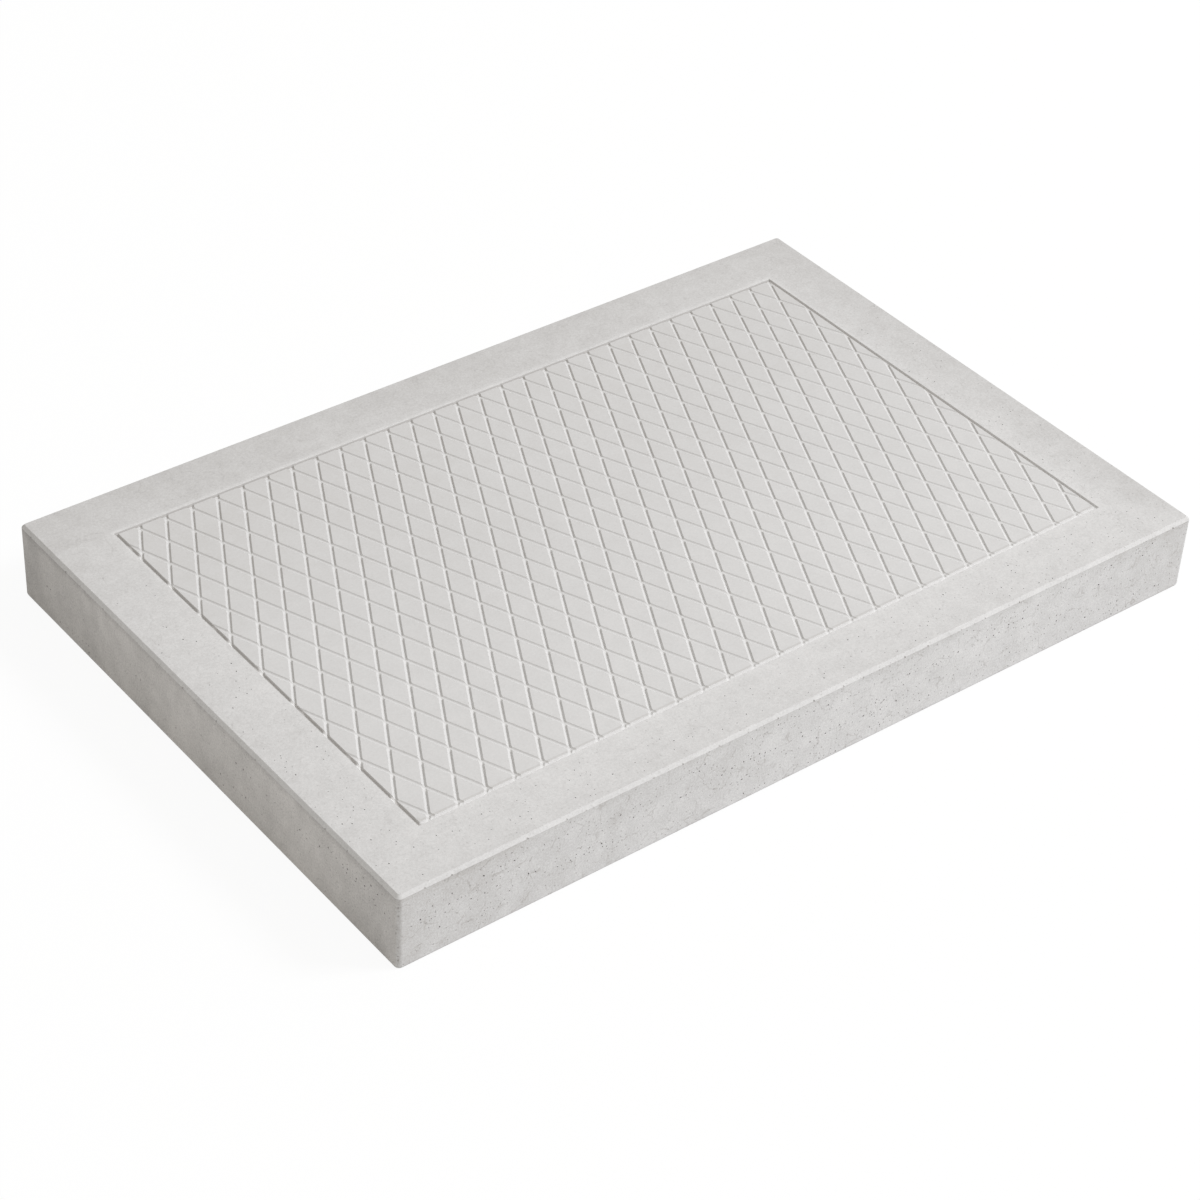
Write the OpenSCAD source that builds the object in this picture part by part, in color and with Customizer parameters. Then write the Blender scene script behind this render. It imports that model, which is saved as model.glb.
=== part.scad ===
// Cast concrete paving slab: a plain border round a panel of anti-slip diamond grooves.
// Units are millimetres. The slab lies flat, its underside on z = 0, centred on the origin,
// with its length along X and its width along Y.

/* [Slab] */
// Length of the slab, along X
slab_l = 900; // [600:10:1200]
// Width of the slab, along Y
slab_w = 600; // [400:10:900]
// Thickness of the slab
slab_t = 80; // [40:1:120]
// Radius of the four upright corners
corner_r = 8; // [6:0.5:20]
// Width of the 45 degree chamfer round the walking face
edge_chamfer = 3; // [1:0.5:5]

/* [Patterned panel] */
// Plain border between each end of the slab and the panel's edge groove
border_end = 64; // [40:1:110]
// Plain border between each side of the slab and the panel's edge groove
border_side = 62; // [40:1:110]

// Width of the edge groove at the walking face
edge_groove_w = 4; // [3.5:0.25:8]
// Width of the edge groove's flat floor
edge_groove_floor = 1.5; // [1:0.25:3]
// Depth of the edge groove
edge_groove_d = 2; // [1.75:0.25:4]

/* [Lattice] */
// Width of one diamond of the lattice, along X
diamond_w = 27.5; // [20:0.5:60]
// Length of one diamond of the lattice, along Y
diamond_l = 58; // [30:0.5:120]
// How far the lattice's middle crossing stands off the slab's middle, along X
lattice_shift = 5; // [-10:0.5:10]
// Width of a lattice groove at the walking face
groove_w = 4; // [2:0.25:5]
// Depth of a lattice groove at its bottom line
groove_d = 1.5; // [0.5:0.25:1.75]

/* [Hidden] */
// Facets of a round, in a plain view
round_fn = 48;
// How far a cutter stands above the walking face
over = 1;

// Half sizes of the panel, measured to the centre line of its edge groove
panel_x = slab_l / 2 - border_end;
panel_y = slab_w / 2 - border_side;
// Run of a lattice line along X for each millimetre along Y
lean = diamond_w / diamond_l;
// Angle of a lattice line, seen from above, away from the Y axis
lean_angle = atan(lean);
// Lattice lines on each side of the middle one that can still reach the panel
line_count = ceil((panel_x + abs(lattice_shift) + panel_y * lean) / diamond_w);

// Half width of a sloping groove wall's cutter at its raised top
function half_above(top_w, floor_w, depth) =
    floor_w / 2 + (top_w - floor_w) / 2 * (depth + over) / depth;

// Where a lattice line enters and leaves the panel along Y, given its X at y = 0
function line_from(x) = max(-panel_y, (-panel_x - x) / lean);
function line_to(x) = min(panel_y, (panel_x - x) / lean);

// Slab outline with round corners, as tall as its upright sides
module upright_block() {
    side_h = slab_t - edge_chamfer;
    translate([-slab_l / 2, corner_r - slab_w / 2, 0])
        cube([slab_l, slab_w - 2 * corner_r, side_h]);
    translate([corner_r - slab_l / 2, -slab_w / 2, 0])
        cube([slab_l - 2 * corner_r, slab_w, side_h]);
    at_corners() cylinder(h = side_h, r = corner_r, $fn = round_fn);
}

// Chamfered layer that closes the block at the walking face
module chamfered_top() {
    translate([0, 0, slab_t - edge_chamfer]) {
        chamfered_bar(slab_w, slab_l - 2 * corner_r);
        rotate([0, 0, 90]) chamfered_bar(slab_l, slab_w - 2 * corner_r);
        at_corners()
            cylinder(h = edge_chamfer, r1 = corner_r, r2 = corner_r - edge_chamfer, $fn = round_fn);
    }
}

// Bar along X with both long top edges chamfered away
module chamfered_bar(across, along) {
    rotate([90, 0, 90])
        linear_extrude(height = along, center = true)
            polygon([
                [-across / 2, 0],
                [across / 2, 0],
                [across / 2 - edge_chamfer, edge_chamfer],
                [edge_chamfer - across / 2, edge_chamfer]
            ]);
}

// Places a shape at the centre of each upright corner
module at_corners() {
    for (sx = [-1, 1], sy = [-1, 1])
        translate([sx * (slab_l / 2 - corner_r), sy * (slab_w / 2 - corner_r), 0])
            children();
}

// Cutter for a stretch of the edge groove along Y, from y = 0 to its length
module edge_cutter(length) {
    half_top = half_above(edge_groove_w, edge_groove_floor, edge_groove_d);
    translate([0, 0, slab_t])
        rotate([-90, 0, 0])
            linear_extrude(height = length)
                polygon([
                    [-edge_groove_floor / 2, edge_groove_d],
                    [edge_groove_floor / 2, edge_groove_d],
                    [half_top, -over],
                    [-half_top, -over]
                ]);
}

// Cutter for one V groove of the lattice along Y, from y = 0 to its length
module lattice_cutter(length) {
    half_top = half_above(groove_w, 0, groove_d);
    translate([0, 0, slab_t])
        rotate([-90, 0, 0])
            linear_extrude(height = length)
                polygon([
                    [0, groove_d],
                    [half_top, -over],
                    [-half_top, -over]
                ]);
}

// Cutters for the groove round the panel, with round outer corners
module edge_groove() {
    half_top = half_above(edge_groove_w, edge_groove_floor, edge_groove_d);
    for (sx = [-1, 1])
        translate([sx * panel_x, -panel_y, 0]) edge_cutter(2 * panel_y);
    for (sy = [-1, 1])
        translate([-panel_x, sy * panel_y, 0]) rotate([0, 0, -90]) edge_cutter(2 * panel_x);
    for (sx = [-1, 1], sy = [-1, 1])
        translate([sx * panel_x, sy * panel_y, slab_t - edge_groove_d])
            cylinder(h = edge_groove_d + over, r1 = edge_groove_floor / 2, r2 = half_top, $fn = round_fn);
}

// Cutters for the lattice lines that lean one way, each ending in the edge groove
module leaning_grooves() {
    for (k = [-line_count:line_count]) {
        x = lattice_shift + k * diamond_w;
        from = line_from(x);
        to = line_to(x);
        if (to - from > groove_w)
            translate([x + from * lean, from, 0])
                rotate([0, 0, -lean_angle])
                    lattice_cutter((to - from) / cos(lean_angle));
    }
}

// The whole slab, cast in one piece
module slab() {
    color([0.83, 0.83, 0.82])
        difference() {
            union() {
                upright_block();
                chamfered_top();
            }
            edge_groove();
            leaning_grooves();
            mirror([0, 1, 0]) leaning_grooves();
        }
}

slab();
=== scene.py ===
import math
import random

import bmesh
import bpy
from mathutils import Matrix, Vector


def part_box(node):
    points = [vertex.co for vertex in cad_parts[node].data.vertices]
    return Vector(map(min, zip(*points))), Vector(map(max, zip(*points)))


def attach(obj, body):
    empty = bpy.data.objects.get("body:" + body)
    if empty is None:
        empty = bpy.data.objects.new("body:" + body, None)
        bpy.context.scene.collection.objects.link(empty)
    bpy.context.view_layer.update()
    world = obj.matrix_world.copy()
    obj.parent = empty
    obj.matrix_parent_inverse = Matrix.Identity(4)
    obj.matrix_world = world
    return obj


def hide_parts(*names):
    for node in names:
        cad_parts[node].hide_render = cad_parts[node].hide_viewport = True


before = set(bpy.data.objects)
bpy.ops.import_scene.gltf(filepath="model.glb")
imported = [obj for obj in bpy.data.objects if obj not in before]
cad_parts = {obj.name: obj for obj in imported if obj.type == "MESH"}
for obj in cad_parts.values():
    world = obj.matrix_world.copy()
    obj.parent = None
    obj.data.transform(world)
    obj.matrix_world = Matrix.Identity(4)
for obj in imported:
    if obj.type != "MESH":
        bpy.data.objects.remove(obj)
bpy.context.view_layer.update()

# Sizes of the slab in metres, as in the part's source
MM = 0.001
slab_low, slab_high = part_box("slab")
slab_l, slab_w, slab_t = slab_high - slab_low
edge_chamfer = 3 * MM
border_end = 64 * MM
border_side = 62 * MM
panel_x = slab_l / 2 - border_end
panel_y = slab_w / 2 - border_side
diamond_w = 27.5 * MM
diamond_l = 58 * MM
lattice_shift = 5 * MM
groove_w = 4 * MM
groove_d = 1.5 * MM
# Sizes that the casting shows smaller than the part's source has them
corner_r = 5 * MM
edge_groove_w = 3.6 * MM
edge_groove_floor = 1.0 * MM
edge_groove_d = 1.7 * MM

# Soft rounds that casting leaves on the sharp lines of the drawing
groove_worn = 0.6 * MM
groove_shoulder_r = 0.3 * MM
edge_shoulder_r = 0.3 * MM
edge_bottom_r = 0.5 * MM
pad_corner = 1.2 * MM
chamfer_soft = 0.3 * MM
foot_soft = 2.5 * MM
# Edges that turn by more than this stay sharp in the shading
crease = math.radians(50)
# How far a pad's top stands off the middle of its four grooves, so that each groove has one wide
# wall and one steep one
pad_off_x = -0.44 * MM
pad_off_y = 0.23 * MM
# Depth of the grooves that run from the front right to the back left, as a share of the others'
shallower = 0.62
# How much deeper the edge groove is along the slab's left end
left_deeper = 1.15

# Vertices closer than this are one vertex
WELD = 0.01 * MM


def start_piece(name, add, **settings):
    """Adds a primitive with nothing else selected, names it and opens it in edit mode."""
    bpy.ops.object.select_all(action="DESELECT")
    add(**settings)
    piece = bpy.context.object
    piece.name = name
    piece.data.name = name
    bpy.ops.object.transform_apply(location=True, rotation=True, scale=True)
    bpy.ops.object.mode_set(mode="EDIT")
    return piece


def pick(piece, kind, test):
    """Selects, in edit mode, the verts, edges or faces whose corners all pass the test."""
    bpy.ops.mesh.select_mode(type={"verts": "VERT", "edges": "EDGE", "faces": "FACE"}[kind])
    bpy.ops.mesh.select_all(action="DESELECT")
    mesh = bmesh.from_edit_mesh(piece.data)
    for item in getattr(mesh, kind):
        corners = [item] if kind == "verts" else item.verts
        item.select_set(all(test(corner.co) for corner in corners))
    mesh.select_flush_mode()
    bmesh.update_edit_mesh(piece.data)


def pick_open_edges():
    """Selects the edges with a face on one side only."""
    bpy.ops.mesh.select_mode(type="EDGE")
    bpy.ops.mesh.select_all(action="DESELECT")
    bpy.ops.mesh.select_non_manifold(use_wire=False, use_multi_face=False, use_non_contiguous=False,
                                     use_verts=False)


def near(a, b):
    """Whether two lengths are the same to within a weld."""
    return abs(a - b) < WELD


def rounded_wall(half_w, floor_half, depth, bottom_r, shoulder_r, steps=2):
    """One groove wall from its bottom to the walking face, as (distance from the middle, height)."""
    slope = math.atan2(depth, half_w - floor_half)
    bottom_u = floor_half - bottom_r * math.tan(slope / 2)
    shoulder_u = half_w + shoulder_r * math.tan(slope / 2)
    turns = [slope * i / steps for i in range(steps + 1)]
    bottom = [(bottom_u + bottom_r * math.sin(t), bottom_r * (1 - math.cos(t)) - depth) for t in turns]
    shoulder = [(shoulder_u - shoulder_r * math.sin(t), shoulder_r * (math.cos(t) - 1))
                for t in reversed(turns)]
    return bottom + shoulder


def lattice_wall():
    """Wall of a lattice groove, its bottom worn into one round."""
    slope = math.atan2(groove_d, groove_w / 2 - groove_worn)
    bottom_r = groove_worn / math.tan(slope / 2)
    return rounded_wall(groove_w / 2, groove_worn, groove_d, bottom_r, groove_shoulder_r)


def widen(factor_x, factor_y, factor_z=1.0, level=0.0):
    """Scales the selection about a point on the slab's middle axis."""
    bpy.ops.transform.resize(value=(factor_x, factor_y, factor_z), center_override=(0, 0, level))


def diamond_pad():
    """One pad of the lattice with half a groove on each side, its middle on the Z axis."""
    half_x = diamond_w / 2
    half_y = diamond_l / 2
    in_radius = half_x * half_y / math.hypot(half_x, half_y)
    wall = lattice_wall()[::-1]
    share = [1 - u / in_radius for u, z in wall]

    pad = start_piece("lattice", bpy.ops.mesh.primitive_circle_add, vertices=4, radius=1,
                      fill_type="NGON", location=(0, 0, slab_t))
    widen(half_x * share[0], half_y * share[0])
    bpy.ops.mesh.select_mode(type="VERT")
    bpy.ops.mesh.select_all(action="SELECT")
    bpy.ops.mesh.bevel(offset=pad_corner, segments=2, affect="VERTICES", clamp_overlap=True)
    bpy.ops.mesh.select_mode(type="EDGE")
    bpy.ops.mesh.select_all(action="SELECT")
    for i in range(1, len(wall)):
        bpy.ops.mesh.extrude_edges_move()
        drop = wall[i][1] - wall[i - 1][1]
        bpy.ops.transform.translate(value=(0, 0, drop))
        widen(share[i] / share[i - 1], share[i] / share[i - 1])

    # The outermost corners run out to the crossings of the grooves
    bottom = slab_t + wall[-1][1]
    pick(pad, "verts", lambda co: near(co.z, bottom) and near(co.y, 0))
    tip_x = max(v.co.x for v in bmesh.from_edit_mesh(pad.data).verts if v.select)
    widen(half_x / tip_x, 1)
    pick(pad, "verts", lambda co: near(co.z, bottom) and near(co.x, 0))
    tip_y = max(v.co.y for v in bmesh.from_edit_mesh(pad.data).verts if v.select)
    widen(1, half_y / tip_y)
    for u, z in wall[:-1]:
        pick(pad, "verts", lambda co: near(co.z, slab_t + z))
        up = 1 + z / -wall[-1][1]
        bpy.ops.transform.translate(value=(pad_off_x * up, pad_off_y * up, 0))

    # One family of grooves is shallower, so that the other runs on through the crossings
    def quadrant(co):
        up = 1 + (co.z - slab_t) / -wall[-1][1]
        return (co.x - pad_off_x * up) * (co.y - pad_off_y * up)

    on_axis = 0.1 * MM * MM
    pick(pad, "verts", lambda co: quadrant(co) > on_axis)
    widen(1, 1, shallower, slab_t)
    pick(pad, "verts", lambda co: abs(quadrant(co)) < on_axis and co.z > bottom + WELD)
    widen(1, 1, (1 + shallower) / 2, slab_t)
    return pad


def drift(x):
    """How far the cast lattice has moved along X on the slab's middle line."""
    return 3 * MM - 0.0386 * x * x


def slant(x):
    """How much more the cast lattice leans along X for each metre along Y."""
    return 0.032 - 0.13 * x


def fullness(x):
    """Depth of the cast lattice as a share of the drawing's, most at the left end."""
    return 0.99 - 0.25 * x


def untrue(piece):
    """Moves the lattice from where it is drawn to where the casting has it."""
    for vertex in piece.data.vertices:
        x, y, z = vertex.co
        vertex.co = (x + drift(x) + slant(x) * y, y, slab_t + (z - slab_t) * fullness(x))


def lattice():
    """The pads repeated over the panel, with a groove crossing in its middle, cut off at its edge."""
    pad = diamond_pad()
    columns = math.ceil((panel_x + lattice_shift) / diamond_w) + 1
    rows = math.ceil(panel_y / diamond_l) + 1
    bpy.ops.mesh.select_all(action="SELECT")
    first_x = lattice_shift + diamond_w / 2 - columns * diamond_w
    bpy.ops.transform.translate(value=(first_x, -rows * diamond_l, 0))
    bpy.ops.mesh.duplicate()
    bpy.ops.transform.translate(value=(diamond_w / 2, diamond_l / 2, 0))
    bpy.ops.object.mode_set(mode="OBJECT")
    for count, step in ((2 * columns, (diamond_w, 0, 0)), (2 * rows, (0, diamond_l, 0))):
        repeat = pad.modifiers.new("repeat", "ARRAY")
        repeat.count = count
        repeat.use_relative_offset = False
        repeat.use_constant_offset = True
        repeat.constant_offset_displace = step
        bpy.ops.object.modifier_apply(modifier=repeat.name)
    bpy.ops.object.mode_set(mode="EDIT")
    bpy.ops.mesh.select_all(action="SELECT")
    bpy.ops.mesh.remove_doubles(threshold=WELD)
    bpy.ops.object.mode_set(mode="OBJECT")
    untrue(pad)
    bpy.ops.object.mode_set(mode="EDIT")

    inner = edge_wall()[-1][0]
    for side in (Vector((1, 0, 0)), Vector((-1, 0, 0)), Vector((0, 1, 0)), Vector((0, -1, 0))):
        reach = (panel_x if side.x else panel_y) - inner
        bpy.ops.mesh.select_all(action="SELECT")
        bpy.ops.mesh.bisect(plane_co=side * reach, plane_no=side, clear_outer=True, threshold=WELD / 10)
    return pad


def edge_wall():
    """Wall of the groove round the panel, from its floor to the walking face."""
    return rounded_wall(edge_groove_w / 2, edge_groove_floor / 2, edge_groove_d,
                        edge_bottom_r, edge_shoulder_r)


def edge_groove(piece):
    """Takes the lattice's rim down into the edge groove and up again to the border."""
    wall = edge_wall()
    down = [(-u, z) for u, z in reversed(wall)]
    floor = slab_t - edge_groove_d
    pick_open_edges()
    for (u, z), (next_u, next_z) in zip(down, down[1:]):
        bpy.ops.mesh.extrude_edges_move()
        # The rim isn't level where lattice grooves end, so it is flattened onto the floor bit by bit
        flatter = (next_z + edge_groove_d) / (z + edge_groove_d)
        widen((panel_x + next_u) / (panel_x + u), (panel_y + next_u) / (panel_y + u), flatter, floor)
    last_u, last_z = down[-1]
    for next_u, next_z in wall:
        bpy.ops.mesh.extrude_edges_move()
        widen((panel_x + next_u) / (panel_x + last_u), (panel_y + next_u) / (panel_y + last_u))
        bpy.ops.transform.translate(value=(0, 0, next_z - last_z))
        last_u, last_z = next_u, next_z
    pick(piece, "verts", lambda co: abs(co.x + panel_x) < wall[-1][0] - WELD)
    widen(1, 1, left_deeper, slab_t)


def block():
    """The slab's sides, chamfer and underside, open at the top."""
    body = start_piece("slab_body", bpy.ops.mesh.primitive_cube_add, size=1, location=(0, 0, slab_t / 2))
    widen(slab_l, slab_w, slab_t, slab_t / 2)
    pick(body, "edges", lambda co: True)
    mesh = bmesh.from_edit_mesh(body.data)
    for edge in mesh.edges:
        edge.select_set(not near(edge.verts[0].co.z, edge.verts[1].co.z))
    bmesh.update_edit_mesh(body.data)
    bpy.ops.mesh.bevel(offset=corner_r, segments=8, affect="EDGES")
    pick(body, "edges", lambda co: near(co.z, slab_t))
    bpy.ops.mesh.bevel(offset=edge_chamfer, segments=1, affect="EDGES")
    pick(body, "edges", lambda co: near(co.z, slab_t))
    bpy.ops.mesh.bevel(offset=chamfer_soft, segments=2, affect="EDGES")
    pick(body, "edges", lambda co: near(co.z, slab_t - edge_chamfer))
    bpy.ops.mesh.bevel(offset=chamfer_soft, segments=2, affect="EDGES")
    pick(body, "edges", lambda co: near(co.z, 0))
    bpy.ops.mesh.bevel(offset=foot_soft, segments=2, affect="EDGES")
    pick(body, "faces", lambda co: near(co.z, slab_t))
    bpy.ops.mesh.delete(type="FACE")
    bpy.ops.object.mode_set(mode="OBJECT")
    return body


# Air holes: how many on the front, right, back and left sides and on the border
holes_on_sides = (330, 90, 220, 90)
holes_on_border = 240
# The least and most an air hole is across, in the sides and on top, and the least way between two
hole_least = 0.8 * MM
hole_most = 1.9 * MM
hole_most_on_top = 1.4 * MM
hole_spacing = 2.6 * MM
# How many air holes a loose row can have, the least and most way from one to the next in mm, how far
# a row can slope, and how many mm a hole strays from it
hole_rows = (1, 1, 1, 2, 3, 5, 9)
row_step_least = 4
row_step_most = 14
row_slope = 0.05
row_stray = 1.0
# The higher this is, the more of the air holes are small
smallness = 1.8
# How dark the painted shade in the air holes and in the nicks is
hole_painted_shade = 1.0
nick_painted_shade = 0.3
# Start of the random draws
seed = 11
# Nicks in the chamfer and in the foot, for each side, and in each upright corner
nicks_on_sides = (26, 14, 20, 14)
nicks_in_corner = 6
# Least and most half sizes of a nick in the chamfer and in the foot, in mm: along, up and in
chamfer_nick = ((0.4, 1.4), (0.8, 2.2), (0.5, 1.0))
foot_nick = ((0.5, 1.6), (0.5, 1.1), (0.5, 0.9))
# How far a nick in the chamfer leans, in radians
nick_lean = 0.3


def side_place(quarter, along, height):
    """A place on one of the sides, its Z axis outward: 0 is the front, then anticlockwise."""
    out = (slab_l if quarter % 2 else slab_w) / 2
    turn = Matrix.Rotation(quarter * math.pi / 2, 4, "Z")
    return turn @ Matrix.Translation((along, -out, height)) @ Matrix.Rotation(math.pi / 2, 4, "X")


def holes_in_sides(rng):
    """Places of the air holes in the sides: loose rows along the slab and single ones."""
    places = []
    low = 4 * MM
    high = slab_t - edge_chamfer - 3 * MM
    for quarter, count in enumerate(holes_on_sides):
        reach = (slab_w if quarter % 2 else slab_l) / 2 - 2 * corner_r
        while count > 0:
            along = rng.uniform(-reach, reach)
            height = rng.uniform(low, high)
            slope = rng.uniform(-row_slope, row_slope)
            for _ in range(rng.choice(hole_rows)):
                if abs(along) < reach and low < height < high:
                    places.append(side_place(quarter, along, height))
                    count -= 1
                step = rng.uniform(row_step_least, row_step_most) * MM
                along += step
                height += step * slope + rng.gauss(0, row_stray) * MM
    return places


def holes_in_border(rng):
    """Places of the air holes in the border, more of them towards the front."""
    places = []
    rim = 6 * MM
    while len(places) < holes_on_border:
        x = rng.uniform(rim - slab_l / 2, slab_l / 2 - rim)
        y = rng.uniform(rim - slab_w / 2, slab_w / 2 - rim)
        in_panel = abs(x) < panel_x + rim and abs(y) < panel_y + 2 * rim
        chance = 0.30 - 0.1 * x / slab_l - 0.9 * y / slab_w
        if not in_panel and rng.random() < chance:
            places.append(Matrix.Translation((x, y, slab_t)))
    return places


def air_holes(rng):
    """Where and how large the air holes are: matrices for a unit ball."""
    holes = []
    taken = []
    for place in holes_in_sides(rng) + holes_in_border(rng):
        largest = hole_most_on_top if near(place.translation.z, slab_t) else hole_most
        across = hole_least + (largest - hole_least) * rng.random() ** smallness
        stretch = rng.uniform(0.8, 1.3)
        spin = Matrix.Rotation(rng.uniform(0, math.pi), 4, "Z")
        depth = across * rng.uniform(0.5, 0.8)
        size = Matrix.Diagonal((across / 2 * stretch, across / 2 / stretch, depth, 1))
        point = place.translation
        if all((point - other).length > hole_spacing for other in taken):
            taken.append(point)
            holes.append(place @ spin @ size)
    return holes


def ball_size(rng, ranges):
    """Scales a unit ball to random half sizes, each from its own range in mm."""
    return Matrix.Diagonal([rng.uniform(least, most) * MM for least, most in ranges] + [1])


def edge_nicks(rng):
    """Where small bits have broken out of the chamfer and the foot: matrices for a unit ball."""
    nicks = []
    for quarter, count in enumerate(nicks_on_sides):
        half = (slab_w if quarter % 2 else slab_l) / 2 - 2 * corner_r
        pitch = 2 * half / count
        for i in range(count):
            along = (i + rng.uniform(0.2, 0.8)) * pitch - half
            place = side_place(quarter, along, slab_t - edge_chamfer * rng.uniform(0.6, 1.1))
            size = ball_size(rng, chamfer_nick)
            nicks.append(place @ Matrix.Rotation(rng.gauss(0, nick_lean), 4, "Z") @ size)
            along = (i + rng.uniform(0.1, 0.9)) * pitch - half
            place = side_place(quarter, along, rng.uniform(0.4, 2.0) * MM)
            nicks.append(place @ ball_size(rng, foot_nick))
    return nicks


def corner_nicks(rng):
    """Where small bits have broken out of the upright corners: matrices for a unit ball."""
    inset = corner_r * (1 - math.sqrt(0.5))
    nicks = []
    for sx, sy in ((-1, -1), (1, -1), (1, 1), (-1, 1)):
        for _ in range(nicks_in_corner):
            height = rng.uniform(4 * MM, slab_t - 3 * edge_chamfer)
            place = Matrix.Translation((sx * (slab_l / 2 - inset), sy * (slab_w / 2 - inset), height))
            across = rng.uniform(0.4, 0.9) * MM
            nicks.append(place @ Matrix.Diagonal((across, across, across * rng.uniform(0.6, 1.2), 1)))
    return nicks


def balls(name, places, painted_shade):
    """One mesh with a ball, modelled once, at each of the places, and how much painted shade their hollows
    get.
    """
    ball = start_piece(name, bpy.ops.mesh.primitive_uv_sphere_add, segments=8, ring_count=6, radius=1)
    bpy.ops.object.mode_set(mode="OBJECT")
    corners = [v.co.copy() for v in ball.data.vertices]
    sides = [list(p.vertices) for p in ball.data.polygons]
    points = [place @ co for place in places for co in corners]
    faces = [[i + k * len(corners) for i in side] for k in range(len(places)) for side in sides]
    mesh = bpy.data.meshes.new(name)
    mesh.from_pydata(points, [], faces)
    hollow = mesh.attributes.new("hollow", "FLOAT", "FACE")
    hollow.data.foreach_set("value", [painted_shade] * len(faces))
    ball.data = mesh
    return ball


def carve(piece, cutter):
    """Cuts one mesh out of another and throws the cutter away."""
    cut = piece.modifiers.new("carve", "BOOLEAN")
    cut.operation = "DIFFERENCE"
    cut.solver = "MANIFOLD"
    cut.object = cutter
    bpy.context.view_layer.objects.active = piece
    bpy.ops.object.modifier_apply(modifier=cut.name)
    bpy.data.objects.remove(cutter)


def closed_slab():
    """The face joined to the block, as one closed mesh."""
    face = lattice()
    edge_groove(face)
    bpy.ops.object.mode_set(mode="OBJECT")
    body = block()
    face.select_set(True)
    bpy.context.view_layer.objects.active = body
    bpy.ops.object.join()
    body.name = "cast_slab"
    body.data.name = "cast_slab"
    bpy.ops.object.mode_set(mode="EDIT")
    pick_open_edges()
    bpy.ops.mesh.fill(use_beauty=True)
    bpy.ops.mesh.select_all(action="SELECT")
    bpy.ops.mesh.normals_make_consistent(inside=False)
    bpy.ops.object.mode_set(mode="OBJECT")
    return body


def slab():
    """The whole slab with its nicks and air holes."""
    body = closed_slab()
    rng = random.Random(seed)
    carve(body, balls("edge_nicks", edge_nicks(rng) + corner_nicks(rng), nick_painted_shade))
    carve(body, balls("air_holes", air_holes(rng), hole_painted_shade))
    body.select_set(True)
    bpy.ops.object.shade_smooth_by_angle(angle=crease)
    settle = body.modifiers.new("even_shading", "WEIGHTED_NORMAL")
    settle.keep_sharp = True
    settle.weight = 100
    bpy.ops.object.modifier_apply(modifier=settle.name)
    return body


class Wire:
    """A socket of a finish's nodes. Its operators add Math nodes."""

    def __init__(self, finish, socket):
        self.finish = finish
        self.socket = socket

    def math(self, operation, first, second=0.0, third=0.0):
        return self.finish.add("ShaderNodeMath", {"operation": operation}, {0: first, 1: second, 2: third})

    def __add__(self, other):
        return self.math("ADD", self, other)

    def __sub__(self, other):
        return self.math("SUBTRACT", self, other)

    def __mul__(self, other):
        return self.math("MULTIPLY", self, other)

    def __truediv__(self, other):
        return self.math("DIVIDE", self, other)

    def __abs__(self):
        return self.math("ABSOLUTE", self)

    def __rsub__(self, other):
        return self.math("SUBTRACT", other, self)

    def most(self, other):
        return self.math("MAXIMUM", self, other)

    __radd__ = __add__
    __rmul__ = __mul__


class Finish:
    """The nodes of one material."""

    def __init__(self, name):
        self.material = bpy.data.materials.new(name)
        self.material.use_nodes = True
        self.tree = self.material.node_tree
        self.tree.nodes.clear()

    def add(self, kind, settings=None, sockets=None, output=0):
        """Adds a node, sets it, fills or links its sockets, and gives one of its outputs."""
        node = self.tree.nodes.new(kind)
        for name, value in (settings or {}).items():
            setattr(node, name, value)
        for key, value in (sockets or {}).items():
            if isinstance(value, Wire):
                self.tree.links.new(value.socket, node.inputs[key])
            else:
                node.inputs[key].default_value = value
        return Wire(self, node.outputs[output]) if node.outputs else None

    def noise(self, place, scale, detail=3.0, roughness=0.55):
        return self.add("ShaderNodeTexNoise", None, {"Vector": place, "Scale": scale, "Detail": detail,
                                                    "Roughness": roughness})

    def step(self, value, low, high):
        """Rises softly from 0 where the value is low to 1 where it is high."""
        return self.add("ShaderNodeMapRange", {"interpolation_type": "SMOOTHSTEP"},
                        {"Value": value, "From Min": low, "From Max": high})

    def mix(self, factor, first, second):
        return self.add("ShaderNodeMix", {"data_type": "RGBA"}, {0: factor, 6: first, 7: second}, 2)


def grey(level, warmth=0.0):
    """A nearly neutral colour, a little yellower with warmth."""
    return (level * (1 + warmth), level, level * (1 - warmth), 1.0)


class Spot:
    """Where a point of the finish lies on the slab, with soft masks for the slab's parts."""

    def __init__(self, finish):
        left = -slab_l / 2
        right = slab_l / 2
        self.place = finish.add("ShaderNodeTexCoord", None, None, "Object")
        self.x = finish.add("ShaderNodeSeparateXYZ", None, {0: self.place}, "X")
        self.y = finish.add("ShaderNodeSeparateXYZ", None, {0: self.place}, "Y")
        height = finish.add("ShaderNodeSeparateXYZ", None, {0: self.place}, "Z")
        # How far the point is outside the panel, and below the walking face
        self.outside = (abs(self.x) - panel_x).most(abs(self.y) - panel_y)
        self.below = slab_t - height
        self.on_border = finish.step(self.outside, 0.0, 3 * MM)
        self.on_sides = finish.step(self.below, edge_chamfer, edge_chamfer + 0.4 * MM)
        self.on_top = 1.0 - self.on_sides
        self.on_left_side = finish.step(self.x, left + 1 * MM, left + 0.2 * MM) * self.on_sides
        self.to_front = finish.step(self.y, slab_w / 2, -slab_w / 2)
        self.to_right = finish.step(self.x, left, right)


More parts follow.
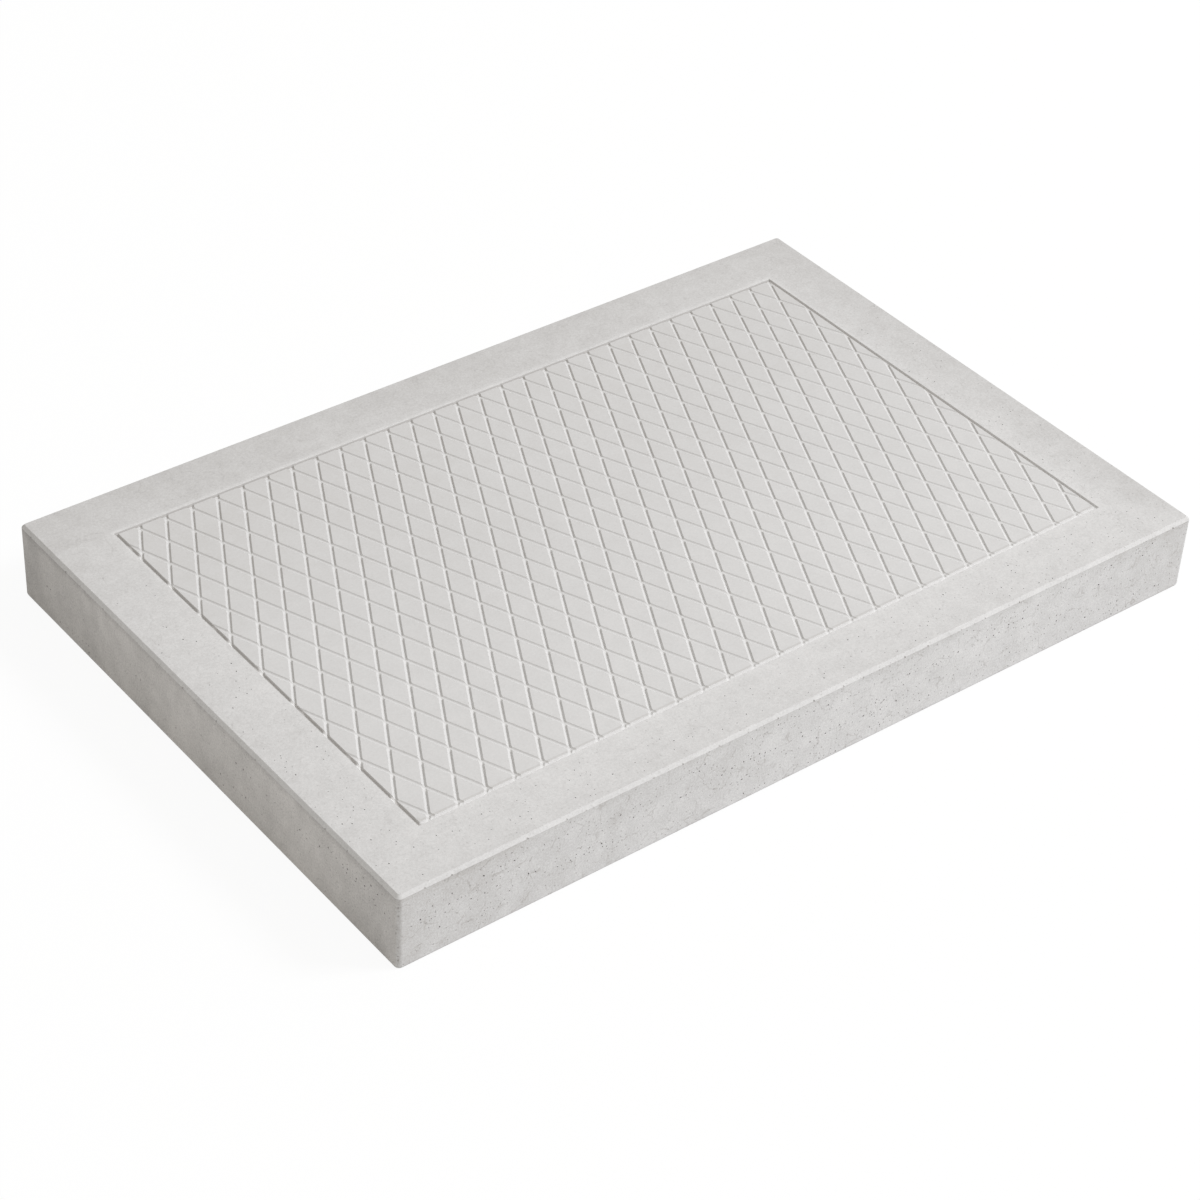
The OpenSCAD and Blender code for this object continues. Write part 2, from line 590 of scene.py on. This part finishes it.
def top_tone(finish, at):
    """The top greys towards its back, rim and right end, and is palest beside the panel: the greying to
    the back is painted shade of the light's falloff, and the pale band beside the panel is a painted
    highlight.
    """
    # Painted highlight: a pale band on the border beside the panel.
    painted_highlight_by_panel = finish.step(at.outside, 14 * MM, 2 * MM) * at.on_border
    to_rim = finish.step(at.outside, 15 * MM, 62 * MM)
    painted_falloff_to_back = 1.0 - at.to_front
    right = finish.step(at.x, panel_x, panel_x + 45 * MM) * finish.step(at.y, -0.30, -0.24)
    back = finish.step(at.y, panel_y, panel_y + 9 * MM) * (1.0 - 0.6 * finish.step(at.x, 0.15, 0.30))
    left = finish.step(at.x, -panel_x, -panel_x - 9 * MM) * finish.step(abs(at.y - 0.07), 0.15, 0.03)
    # The greying to the back is painted shade of the light's falloff across the top.
    darker = 0.07 * painted_falloff_to_back + right * (0.01 + 0.07 * at.to_front) + 0.03 * to_rim + 0.043 * back
    return 0.03 * painted_highlight_by_panel + at.on_top * (0.025 * left - darker)


def chamfer_tone(finish, at):
    """The chamfer is painted paler, a painted highlight, with a thin dark line under it."""
    at_rim = finish.step(at.outside, 50 * MM, 55 * MM)
    # Painted highlight on the outer chamfer.
    chamfer_highlight = finish.step(at.below, 0.1 * MM, 0.4 * MM) * at.on_top * at_rim
    under_it = finish.step(at.below, edge_chamfer + 1.4 * MM, edge_chamfer + 0.5 * MM) * at.on_sides
    return 0.035 * chamfer_highlight - 0.07 * under_it


def lip_painted_light(finish, at):
    """Painted highlights along the front and back of the panel, and a painted shadow behind the front one.
    """
    at_front = finish.step(at.y, 10 * MM - panel_y, 4 * MM - panel_y)
    at_back = finish.step(at.y, 0.0, panel_y)
    front_painted_highlight = finish.step(abs(at.outside + 0.6 * MM), 2.4 * MM, 0.8 * MM) * at_front
    painted_shadow_behind_front = finish.step(abs(at.outside + 3.1 * MM), 2.0 * MM, 0.5 * MM) * at_front
    back_painted_highlight = finish.step(abs(at.outside - 2.8 * MM), 2.2 * MM, 0.6 * MM) * at_back
    # Painted highlights on the lips, and a painted shadow behind the front one.
    return at.on_top * (0.07 * front_painted_highlight - 0.10 * painted_shadow_behind_front + 0.05 * back_painted_highlight)


def lattice_walls(finish, at):
    """Masks for the deeper grooves' wide and steep walls, and for the lines between crossings."""
    lean = diamond_w / diamond_l
    drawn_x = at.x - drift(at.x) - slant(at.x) * at.y
    row = (drawn_x - lean * at.y - lattice_shift) / diamond_w
    cross_row = (drawn_x + lean * at.y - lattice_shift) / diamond_w
    across = row.math("FRACT", row)
    along = cross_row.math("FRACT", cross_row)
    wide = finish.step(across, 0.84, 0.90)
    steep = finish.step(across, 0.085, 0.055)
    between = finish.step(abs(along - 0.5), 0.45, 0.39)
    return wide, steep, between


def grooves_painted_light_and_shade(finish, at, tone):
    """Painted shade in the edge groove and on the lattice's steep walls, and painted highlights on its
    wide walls, where they end in the left edge groove and where the grooves cross.
    """
    wide, steep, between = lattice_walls(finish, at)
    at_left = finish.step(at.x, 2.6 * MM - panel_x, 1.8 * MM - panel_x)
    at_right = finish.step(at.x, panel_x - 3 * MM, panel_x - 1 * MM)
    at_back = finish.step(abs(at.y - panel_y - 0.2 * MM), 2.2 * MM, 1.2 * MM)
    in_edge_groove = finish.step(at.below, 0.3 * MM, 1.0 * MM) * finish.step(at.outside, 3 * MM, 2 * MM)
    # Painted shade in the edge groove at the left, back and right, and a painted highlight where the
    # lattice's wide walls end in it at the left.
    painted_shade = (0.23 * at_left * (1.0 - wide)).most(0.24 * at_back).most(0.14 * at_right)
    tone = tone * (1.0 - in_edge_groove * painted_shade) + 0.20 * in_edge_groove * at_left * wide

    on_panel = 1.0 - at.on_border
    # Painted highlight on the lattice's wide walls.
    tone = tone + 0.04 * wide * on_panel * finish.step(at.below, 0.05 * MM, 0.2 * MM)
    # Painted shade on the steep walls between crossings, and painted light on them at the crossings.
    crossing_light = 0.12
    steep_wall_light_and_shade = between * (crossing_light + 0.10 - 0.10 * at.to_front) - crossing_light
    return tone * (1.0 - steep_wall_light_and_shade * steep * on_panel * finish.step(at.below, 0.1 * MM, 0.4 * MM))


def side_tone(finish, at):
    """Sides with a grey band under the chamfer, grey patches and streaks, most on the left one, and
    painted shade towards both ends of the left side.
    """
    ragged = finish.noise(at.place, 90.0, 4.0, 0.65) - 0.5
    under_chamfer = finish.step(at.below + 12 * MM * ragged, 12 * MM, 4 * MM)
    patches = finish.step(finish.noise(at.place, 26.0, 4.0, 0.65), 0.48, 0.72)
    drawn_out = finish.add("ShaderNodeVectorMath", {"operation": "MULTIPLY"},
                           {0: at.place, 1: (1.0, 1.0, 0.3)})
    streaks = finish.noise(drawn_out, 32.0, 4.0, 0.6) - 0.5
    pale_part = finish.step(at.x, -0.32, 0.12)
    right_end = finish.step(at.x, 0.22, slab_l / 2)
    left_end = finish.step(at.x, -0.25, -slab_l / 2) * (1.0 - at.on_left_side)
    change = (0.08 + 0.22 * at.on_left_side) * streaks - (0.06 + 0.05 * at.on_left_side) * under_chamfer
    change = change + 0.05 * pale_part - 0.08 * right_end - 0.05 * left_end - 0.04 * patches

    # Painted shade: the shaded left side is darker towards both ends.
    far_end = 1.0 - finish.step(at.y, slab_w / 2, slab_w / 6)
    far_half = finish.step(at.y, -0.02, 0.08)
    near_end = finish.step(at.y, -0.15, -0.28)
    shade = 0.13 * far_end + 0.04 * far_half + 0.09 * near_end
    return at.on_sides * change - at.on_left_side * shade


def veins(finish, at):
    """Faint broken veins, as fine cement shrinks."""
    wander = finish.add("ShaderNodeTexNoise", None, {"Vector": at.place, "Scale": 60.0}, "Color")
    shift = finish.add("ShaderNodeVectorMath", {"operation": "SCALE"}, {0: wander, "Scale": 14 * MM})
    bent = finish.add("ShaderNodeVectorMath", {"operation": "ADD"}, {0: at.place, 1: shift})
    from_vein = finish.add("ShaderNodeTexVoronoi", {"feature": "DISTANCE_TO_EDGE"},
                           {"Vector": bent, "Scale": 55.0})
    broken = finish.step(finish.noise(at.place, 70.0, 2.0, 0.5), 0.48, 0.62)
    share = (at.on_sides + 0.35 * at.on_border * at.on_top) * (1.0 - 0.6 * at.on_left_side)
    return finish.step(from_vein, 0.045, 0.01) * broken * share


def sand_specks(finish, at):
    """Fine dark specks of sand, more of them on the sides and to the front right."""
    cells = {"Vector": at.place, "Scale": 230.0}
    from_speck = finish.add("ShaderNodeTexVoronoi", None, cells, "Distance")
    cell_colour = finish.add("ShaderNodeTexVoronoi", None, cells, "Color")
    chance = finish.add("ShaderNodeSeparateXYZ", None, {0: cell_colour}, "X")
    share = 0.08 + 0.16 * at.on_border * (at.to_front + at.to_right)
    share = share + 0.42 * at.on_sides * (1.0 - 0.5 * at.on_left_side)
    return finish.step(from_speck, 0.22, 0.08) * finish.step(chance, 0.40, 0.50) * share


def tinted(finish, tone, warmth):
    """The concrete's grey at a tone, a little yellower with warmth."""
    level = 0.68
    return finish.add("ShaderNodeVectorMath", {"operation": "SCALE"},
                      {"Vector": grey(level, warmth)[:3], "Scale": tone})


def concrete():
    """Fine pale cast concrete with painted shade and painted highlights in its tone, a little warmer where
    it is darker, and with a painted warm tint of shade on the left side.
    """
    finish = Finish("concrete")
    at = Spot(finish)
    clouds = finish.noise(at.place, 7.0, 3.0, 0.5) - 0.5
    blotches = finish.noise(at.place, 55.0, 4.0, 0.6) - 0.5
    grain = finish.noise(at.place, 480.0, 3.0, 0.7) - 0.5
    sand = finish.noise(at.place, 1300.0, 2.0, 0.6) - 0.5
    coarse = 0.35 + 0.40 * at.on_border + 0.45 * at.on_sides
    specks = sand_specks(finish, at)
    hollow = finish.add("ShaderNodeAttribute", {"attribute_name": "hollow"}, None, "Fac")

    tone = 1.0 + 0.06 * clouds + coarse * (0.26 * blotches + 0.50 * grain + 0.40 * sand)
    # The top's, chamfer's and lips' tones hold painted shade and painted highlights.
    tone = tone + top_tone(finish, at) + chamfer_tone(finish, at) + lip_painted_light(finish, at)
    tone = grooves_painted_light_and_shade(finish, at, tone)
    tone = tone + side_tone(finish, at) - 0.16 * veins(finish, at)
    # Painted shade in the air holes and nicks, and dark specks of sand.
    tone = tone * (1.0 - 0.45 * hollow - 0.55 * specks)

    # Darker tones are mixed warmer; the warm tint on the left side is painted shade.
    darker_tones = finish.step(tone, 0.98, 0.80) * (1.0 - 0.6 * at.on_border * at.on_top)
    plain = tinted(finish, tone, 0.006)
    warm = tinted(finish, tone, 0.025)
    colour = finish.mix(darker_tones.most(at.on_left_side), plain, warm)
    height = coarse * (grain + 0.6 * sand) - 1.5 * specks
    relief = finish.add("ShaderNodeBump", None, {"Strength": 0.6, "Distance": 0.2 * MM, "Height": height})
    surface = finish.add("ShaderNodeBsdfPrincipled", None, {
        "Base Color": colour, "Roughness": 0.9, "Specular IOR Level": 0.25, "Normal": relief})
    finish.add("ShaderNodeOutputMaterial", None, {"Surface": surface})
    return finish.material


def floor():
    """Pale floor, white where the camera looks at it, that still takes the slab's shadow."""
    across = 24
    gap = 0.2 * MM
    glow_share = 0.92
    plane = start_piece("floor", bpy.ops.mesh.primitive_plane_add, size=across, location=(0, 0, -gap))
    bpy.ops.object.mode_set(mode="OBJECT")
    finish = Finish("floor_white")
    seen = finish.add("ShaderNodeLightPath", output="Is Camera Ray")
    seen += finish.add("ShaderNodeLightPath", output="Is Glossy Ray")
    seen += finish.add("ShaderNodeLightPath", output="Is Transmission Ray")
    bounce = finish.add("ShaderNodeBsdfDiffuse", None, {"Color": grey(0.70)})
    shaded = finish.add("ShaderNodeBsdfDiffuse", None, {"Color": grey(1.0)})
    glow = finish.add("ShaderNodeEmission", None, {"Color": grey(1.0), "Strength": 1.0})
    white = finish.add("ShaderNodeMixShader", None, {0: glow_share, 1: shaded, 2: glow})
    surface = finish.add("ShaderNodeMixShader", None, {0: seen, 1: bounce, 2: white})
    finish.add("ShaderNodeOutputMaterial", None, {"Surface": surface})
    plane.data.materials.append(finish.material)


def studio():
    """One large soft lamp from the front right, and even light all round."""
    world = bpy.data.worlds.new("studio")
    bpy.context.scene.world = world
    world.use_nodes = True
    backdrop = world.node_tree.nodes["Background"]
    backdrop.inputs["Color"].default_value = (1.03, 1.0, 0.95, 1.0)
    backdrop.inputs["Strength"].default_value = 0.55

    toward_lamp = Vector((0.599, -0.434, 0.674)).normalized()
    distance = 14.0
    lamp = bpy.data.lights.new("soft_lamp", "AREA")
    lamp.shape = "SQUARE"
    lamp.size = 4.0
    lamp.color = (0.99, 1.0, 1.035)
    level = 2.1
    lamp.energy = level * math.pi * distance ** 2
    holder = bpy.data.objects.new("soft_lamp", lamp)
    holder.location = toward_lamp * distance
    holder.rotation_euler = toward_lamp.to_track_quat("Z", "Y").to_euler()
    bpy.context.scene.collection.objects.link(holder)


def camera():
    """Looks down on the slab's near left corner, as the photograph does."""
    aim = Vector((-0.0513, -0.0474, 0.04))
    azimuth = math.radians(-39.61)
    elevation = math.radians(37.89)
    roll = math.radians(3.19)
    distance = 2.853
    back = Vector((math.sin(azimuth) * math.cos(elevation), -math.cos(azimuth) * math.cos(elevation),
                   math.sin(elevation)))
    view = bpy.data.objects.new("camera", bpy.data.cameras.new("camera"))
    view.data.sensor_width = 36
    view.data.lens = 94.1
    level = back.to_track_quat("Z", "Y").to_matrix().to_4x4()
    view.matrix_world = Matrix.Translation(aim + back * distance) @ level @ Matrix.Rotation(roll, 4, "Z")
    bpy.context.scene.collection.objects.link(view)
    bpy.context.scene.camera = view


bpy.context.scene.view_settings.view_transform = "Standard"
camera()
floor()
studio()

piece = slab()
piece.data.materials.clear()
piece.data.materials.append(concrete())
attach(piece, "root")
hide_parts("slab")
